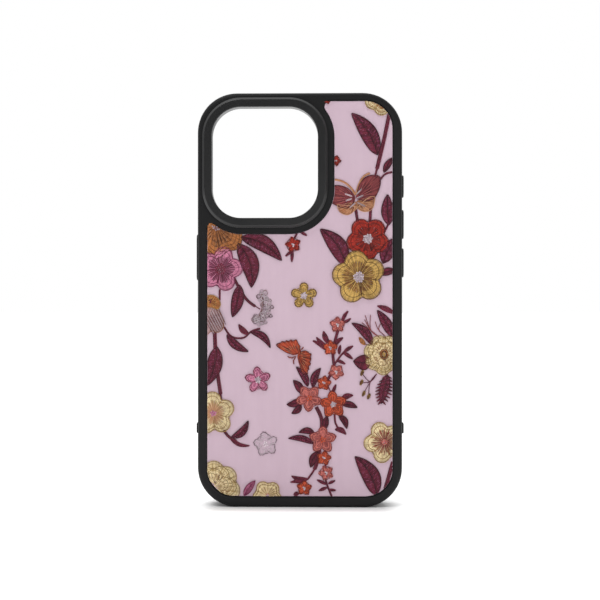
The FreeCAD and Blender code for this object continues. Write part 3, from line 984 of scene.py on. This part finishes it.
BIRD_BODY = [
    (-35.4, 72.8), (-32.0, 72.4), (-30.0, 71.5), (-28.5, 69.6), (-27.7, 67.2), (-27.9, 65.2),
    (-28.9, 63.7), (-30.5, 63.4), (-32.0, 64.0), (-35.2, 62.4),
]
BIRD_HEAD = [
    (-35.0, 76.2), (-33.0, 76.9), (-31.2, 76.7), (-29.8, 75.7), (-28.9, 74.2), (-29.0, 72.8),
    (-29.8, 71.8), (-32.0, 72.4), (-35.0, 73.0),
]
BIRD_STRIPES = (
    ("rose", (-35.6, 69.8), (-31.4, 62.6), 0.3, 0.11, LINE_SCATTER),
    ("silver", (-35.2, 69.8), (-31.1, 62.8), 1.0, THIN_RAY, SCATTER),
)
patch("mauve", (-33.0, 68.6), BIRD_BODY, 0.12, 0.55, 0.75, "brown", 0.5, (("silver", 0.9), ("mauve", 0.9)))
for number in range(8):
    along = number * 0.85
    for dye, top, foot, shade, girth, scatter in BIRD_STRIPES:
        start = (top[0] + along, top[1] + along * 0.4)
        end = (foot[0] + along * 0.75, foot[1] + along * 0.6)
        stitch(dye, start, end, OVER, shade, girth, scatter)
patch("brown", (-32.4, 74.4), BIRD_HEAD, 0.16, 0.6, 0.7, "gold", 0.6, (("brown", 0.2), ("gold", 1.0)))
knot_cluster("wine", (-32.7, 74.7), 0.8, OVER, 0.1)
print("silver stitches so far:", len(stitches["silver"]))

# %% [markdown]
# Last come thin twigs, buds that hang on their own stalks, and a feathered leaf whose barbs
# are three stitches each.

# %% Twigs, buds and feathered leaf
TWIGS = (
    ((28.2, 61.8), (25.2, 64.2), ((22.0, 67.0), (23.2, 69.6), (23.0, 68.0), (25.1, 69.8), (22.6, 65.2))),
    ((30.4, 62.2), (27.9, 64.4), ((26.8, 67.4), (29.0, 66.9))),
)
for foot, bend, tips in TWIGS:
    for tip in tips:
        line("rose", smooth_path([foot, bend, tip]), 0.2, 0.5, 0.13)
for tip in ((22.0, 48.8), (21.8, 45.4), (22.6, 41.4), (24.4, 40.4)):
    line("wine", smooth_path([(27.4, 48.6), (25.0, 45.6), tip]), 0.16, 0.3, 0.13)
    leaf((tip[0] + 0.5, tip[1] + 1.0), (tip[0] - 0.4, tip[1] - 1.1), 1.1, 0, "gold", 0.22, 0.15, False)
    stitch("brown", (tip[0] + 0.2, tip[1] + 0.5), (tip[0] - 0.1, tip[1] - 0.5), OVER, 0.0, 0.12)
leaf((23.2, 59.0), (21.0, 61.8), 1.6, 0.1, "brown", 0.2, 0.5, False)
line("wine", smooth_path([(23.0, 59.2), (24.2, 58.7), (25.6, 59.0)]), 0.2, 0.2, 0.13)
leaf((-20.4, 4.6), (-16.4, 10.0), 2.4, 0.2, "pink", 0.18, 0.3, True)
FEATHER_BASE, FEATHER_TIP = (31.2, 48.4), (28.9, 37.8)
leaf(FEATHER_BASE, FEATHER_TIP, 3.4, 0.0, "wine", 0.1, 0.4, True)
for number in range(9):
    share = 0.08 + number / 10
    spot = between(FEATHER_BASE, FEATHER_TIP, share)
    long = 2.7 * math.sin(math.pi * share**0.8) + 0.6
    for side in (-1, 1):
        tip = (spot[0] + side * long, spot[1] - 0.5 - 1.3 * share)
        for lean in (-0.5, 0.0, 0.5):
            stitch("wine", (spot[0], spot[1] + lean), tip, 0.2, 0.35)
total = sum(len(rows) for rows in stitches.values())
print("stitches in all:", total, "knots:", sum(len(rows) for rows in knots.values()))

# %% [markdown]
# Geometry Nodes turn the stitch list into thread. A stitch is one edge of a simple mesh. The
# tree makes it a curve, arches it off the cloth, gives it a round section that narrows where
# it dives into the cloth, and writes how far along and round each point is for the ply.

# %% Thread tree
# A thread's ends keep this share of its thickness
END_SHARE = 0.65


def start_geometry_tree(name, inputs):
    """A geometry tree with a geometry input, a geometry output and the named inputs."""
    sockets = (("Geometry", "NodeSocketGeometry", None),) + inputs
    return start_group(name, "GeometryNodeTree", sockets, (("Geometry", "NodeSocketGeometry"),))


def store(tree, geometry, name, value):
    """Keep a value on every point of the geometry under a name."""
    kept = {"Geometry": geometry, "Name": name, "Value": value}
    return output_of(tree, "GeometryNodeStoreNamedAttribute", kept, data_type="FLOAT", domain="POINT")


def stored(tree, name):
    """A value kept on the geometry under a name."""
    return output_of(tree, "GeometryNodeInputNamedAttribute", {"Name": name}, data_type="FLOAT")


def finish_tree(tree, geometry, material, result):
    """Real mesh, given material: the end of every tree here."""
    real = output_of(tree, "GeometryNodeRealizeInstances", {"Geometry": geometry})
    dressed = output_of(tree, "GeometryNodeSetMaterial", {"Geometry": real, "Material": material})
    smooth = output_of(tree, "GeometryNodeSetShadeSmooth", {"Geometry": dressed})
    tree.links.new(smooth, result.inputs["Geometry"])


thread_tree, given, result = start_geometry_tree(
    "stitch_to_thread",
    (
        ("Arch", "NodeSocketFloat", 0.0001),
        ("Sides", "NodeSocketInt", 6),
        ("Points", "NodeSocketInt", 5),
        ("Floss", "NodeSocketMaterial", None),
    ),
)
curves = output_of(thread_tree, "GeometryNodeMeshToCurve", {"Mesh": given.outputs["Geometry"]})
even = {"Curve": curves, "Count": given.outputs["Points"]}
curves = output_of(thread_tree, "GeometryNodeResampleCurve", even)
place_on = add_node(thread_tree, "GeometryNodeSplineParameter")
passed = place_on.outputs["Factor"]
left_over = math_node(thread_tree, "SUBTRACT", 1.0, passed)
hump = product(thread_tree, passed, left_over, 4.0)
rise = product(thread_tree, hump, given.outputs["Arch"], -1.0)
offset = output_of(thread_tree, "ShaderNodeCombineXYZ", {"Y": rise})
curves = output_of(thread_tree, "GeometryNodeSetPosition", {"Geometry": curves, "Offset": offset})
curves = store(thread_tree, curves, "along", place_on.outputs["Length"])
girth = stored(thread_tree, "girth")
taper = math_node(thread_tree, "ADD", product(thread_tree, hump, 1 - END_SHARE), END_SHARE)
thickness = product(thread_tree, girth, taper)
circle = {"Resolution": given.outputs["Sides"], "Radius": 1.0}
section = output_of(thread_tree, "GeometryNodeCurvePrimitiveCircle", circle)
around_value = add_node(thread_tree, "GeometryNodeSplineParameter").outputs["Factor"]
section = store(thread_tree, section, "around", around_value)
swept = {"Curve": curves, "Profile Curve": section, "Fill Caps": True, "Scale": thickness}
tube = output_of(thread_tree, "GeometryNodeCurveToMesh", swept)
finish_tree(thread_tree, tube, given.outputs["Floss"], result)
print("made tree", thread_tree.name)

# %% [markdown]
# A French knot is the thread wound on itself: a small ring-like bead. A low bead mesh is
# placed on every knot point, turned at random with a fixed seed, and sized by the point.

# %% Knot tree
knot_tree, given, result = start_geometry_tree(
    "knot_beads",
    (
        ("Flatness", "NodeSocketFloat", 0.7),
        ("Seed", "NodeSocketInt", 3),
        ("Floss", "NodeSocketMaterial", None),
    ),
)
bead = output_of(knot_tree, "GeometryNodeMeshIcoSphere", {"Radius": 1.0, "Subdivisions": 2})
for label in ("along", "around"):
    bead = store(knot_tree, bead, label, 0.0)
any_turn = {0: (0.0, 0.0, 0.0), 1: (0.0, 6.28, 0.0), "Seed": given.outputs["Seed"]}
spin = output_of(knot_tree, "FunctionNodeRandomValue", any_turn, data_type="FLOAT_VECTOR")
size = stored(knot_tree, "girth")
flat_size = product(knot_tree, size, given.outputs["Flatness"])
scale = output_of(knot_tree, "ShaderNodeCombineXYZ", {"X": size, "Y": flat_size, "Z": size})
laid = {"Points": given.outputs["Geometry"], "Instance": bead, "Rotation": spin, "Scale": scale}
beads = output_of(knot_tree, "GeometryNodeInstanceOnPoints", laid)
finish_tree(knot_tree, beads, given.outputs["Floss"], result)
print("made tree", knot_tree.name)

# %% [markdown]
# One piece per dye: the list becomes a mesh of edges, the tree runs once, and the result is
# kept as a plain mesh, so the finished piece needs no modifier. It rides on the case.

# %% Make the threads


def grow(name, source, tree, floss):
    """Run a tree on a source mesh and return the result as a plain piece."""
    holder = bpy.data.objects.new(name + "_source", source)
    bpy.context.scene.collection.objects.link(holder)
    modifier = holder.modifiers.new("grow", "NODES")
    modifier.node_group = tree
    for socket in tree.interface.items_tree:
        if socket.in_out == "INPUT" and socket.name == "Floss":
            modifier[socket.identifier] = floss
    depsgraph = bpy.context.evaluated_depsgraph_get()
    mesh = bpy.data.meshes.new_from_object(holder.evaluated_get(depsgraph), depsgraph=depsgraph)
    bpy.data.objects.remove(holder)
    piece = bpy.data.objects.new(name, mesh)
    bpy.context.scene.collection.objects.link(piece)
    return piece


def point_values(mesh, name, values):
    """Store one number on each point of a mesh."""
    attribute = mesh.attributes.new(name, "FLOAT", "POINT")
    attribute.data.foreach_set("value", values)


def on_face(spot, level):
    """A point of the design in metres, at its height off the panel."""
    return (spot[0] * MM, FACE_Y - level * MM, spot[1] * MM)


def sew(name, tree, dye, source, tones, girths):
    """Grow one dye's stitches or knots into a piece that rides on the case."""
    point_values(source, "tone", tones)
    point_values(source, "girth", girths)
    piece = grow(name, source, tree, threads[dye])
    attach(piece, "case")
    print(piece.name, "has", len(piece.data.polygons), "faces")


for dye, rows in stitches.items():
    if not rows:
        continue
    spots = [on_face(spot, row[2]) for row in rows for spot in row[:2]]
    source = bpy.data.meshes.new(dye + "_stitches")
    source.from_pydata(spots, [(k, k + 1) for k in range(0, len(spots), 2)], [])
    tones = [row[3] for row in rows for _ in range(2)]
    sew(dye + "_thread", thread_tree, dye, source, tones, [row[4] * MM for row in rows for _ in range(2)])

for dye, rows in knots.items():
    if not rows:
        continue
    source = bpy.data.meshes.new(dye + "_knot_points")
    source.from_pydata([on_face(row[0], row[1]) for row in rows], [], [])
    sew(dye + "_knots", knot_tree, dye, source, [row[2] for row in rows], [row[3] * MM for row in rows])

# %% [markdown]
# Behind each key a springy web fills the window. It gives as the key goes in. Here it is
# replaced by a copy with its loose triangles joined, in the soft black, riding on the case.


def merged_copy(name, source):
    """A copy of a CAD piece with its loose triangles joined at their corners."""
    mesh = source.data.copy()
    work = bmesh.new()
    work.from_mesh(mesh)
    bmesh.ops.remove_doubles(work, verts=work.verts, dist=0.000001)
    work.to_mesh(mesh)
    work.free()
    piece = bpy.data.objects.new(name, mesh)
    bpy.context.scene.collection.objects.link(piece)
    return piece


for joint in frame["joints"]:
    web_name = joint["child"] + "_web"
    web = merged_copy(joint["child"] + "_spring_web", frame["nodes"][web_name])
    dress(web, finishes["soft_black"])
    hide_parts(web_name)
    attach(web, "case")
    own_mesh(web)

# %% [markdown]
# The stage is a wide pale floor under a white sky, with one large soft light high on the
# left and a weak one on the right. The sky is darker towards the viewer, so black surfaces
# keep their depth. Away from the case the floor glows a little, as a lit backdrop does.

# %% Floor, sky and lights
FLOOR_WASH = 0.45
FOOTPRINT_HALF = ((case_high[0] - case_low[0]) / 2 - 0.01, (case_high[1] - case_low[1]) / 2)
WASH_START = 0.001
WASH_END = 0.012
bpy.ops.mesh.primitive_plane_add(size=12.0, location=(0, 0, 0))
floor = bpy.context.object
floor.name = "floor"
pale, tree, shader = new_material("pale_floor")
mottle = add_node(tree, "ShaderNodeTexNoise", {"Scale": 3.0})
two_tone(tree, shader, mottle.outputs["Fac"], (0.94, 0.94, 0.94, 1), (0.96, 0.96, 0.96, 1))
shine(shader, 0.9, 0.0)
place = add_node(tree, "ShaderNodeSeparateXYZ", {0: add_node(tree, "ShaderNodeTexCoord").outputs["Object"]})
beyond = {}
for axis, half in zip("XY", FOOTPRINT_HALF):
    offset = math_node(tree, "ABSOLUTE", place.outputs[axis])
    beyond[axis] = math_node(tree, "MAXIMUM", math_node(tree, "SUBTRACT", offset, half), 0.0)
gap = output_of(tree, "ShaderNodeCombineXYZ", beyond)
away = add_node(tree, "ShaderNodeVectorMath", {0: gap}, operation="LENGTH").outputs["Value"]
fading = {"Value": away, "From Min": WASH_START, "From Max": WASH_END, "To Max": FLOOR_WASH}
wash = add_node(tree, "ShaderNodeMapRange", fading, interpolation_type="SMOOTHSTEP")
tree.links.new(wash.outputs[0], shader.inputs["Emission Strength"])
shader.inputs["Emission Color"].default_value = (1, 1, 1, 1)
floor.data.materials.append(pale)

OVERHEAD_LIGHT = 0.75
SKY_TURN = {"From Min": -0.6, "From Max": 0.3, "To Min": 0.07, "To Max": 0.62}
SOFTBOX_SIZE = 0.4
world = bpy.data.worlds.new("white_sky")
bpy.context.scene.world = world
world.use_nodes = True
sky = world.node_tree
backdrop = sky.nodes["Background"]
heading = add_node(sky, "ShaderNodeTexCoord").outputs["Generated"]
direction = add_node(sky, "ShaderNodeSeparateXYZ", {0: heading})
toward = output_of(sky, "ShaderNodeMapRange", {"Value": direction.outputs["Y"], **SKY_TURN})
overhead = math_node(sky, "MAXIMUM", direction.outputs["Z"], 0.0)
sky_light = math_node(sky, "ADD", toward, product(sky, overhead, OVERHEAD_LIGHT))
seen = add_node(sky, "ShaderNodeLightPath").outputs["Is Camera Ray"]
strength = add_node(sky, "ShaderNodeMix", {"Factor": seen, 2: sky_light, 3: 1.0})
backdrop.inputs["Color"].default_value = (1, 1, 1, 1)
sky.links.new(strength.outputs[0], backdrop.inputs["Strength"])


def soft_light(name, place, aim, power):
    """A square area light that looks at a point."""
    lamp = bpy.data.lights.new(name, "AREA")
    lamp.size = SOFTBOX_SIZE
    lamp.energy = power
    holder = bpy.data.objects.new(name, lamp)
    holder.location = place
    holder.rotation_euler = (Vector(aim) - Vector(place)).to_track_quat("-Z", "Y").to_euler()
    bpy.context.scene.collection.objects.link(holder)


middle_z = (case_low[2] + case_high[2]) / 2
soft_light("key_softbox", (-0.4, -0.5, 1.1), (0, 0, middle_z), 3.2)
soft_light("fill_softbox", (0.3, -0.6, 0.06), (0, 0, 0.02), 0.85)
print("lit")

# %% [markdown]
# The camera stands level with the middle of the case, a forearm's length away and a touch
# to the right, as for a catalogue picture of the back.

# %% Camera
DISTANCE = 0.4
YAW = math.radians(1.2)
VIEW_WIDTH = 0.2187
SENSOR_WIDTH = 36
camera_data = bpy.data.cameras.new("catalogue_camera")
camera_data.sensor_width = SENSOR_WIDTH
camera_data.lens = SENSOR_WIDTH * DISTANCE / VIEW_WIDTH
camera = bpy.data.objects.new("catalogue_camera", camera_data)
camera.location = (DISTANCE * math.sin(YAW), -DISTANCE * math.cos(YAW), middle_z)
camera.rotation_euler = (math.radians(90), 0, YAW)
bpy.context.scene.collection.objects.link(camera)
bpy.context.scene.camera = camera
bpy.context.scene.view_settings.view_transform = "Standard"
print("camera at", tuple(round(v, 3) for v in camera.location))
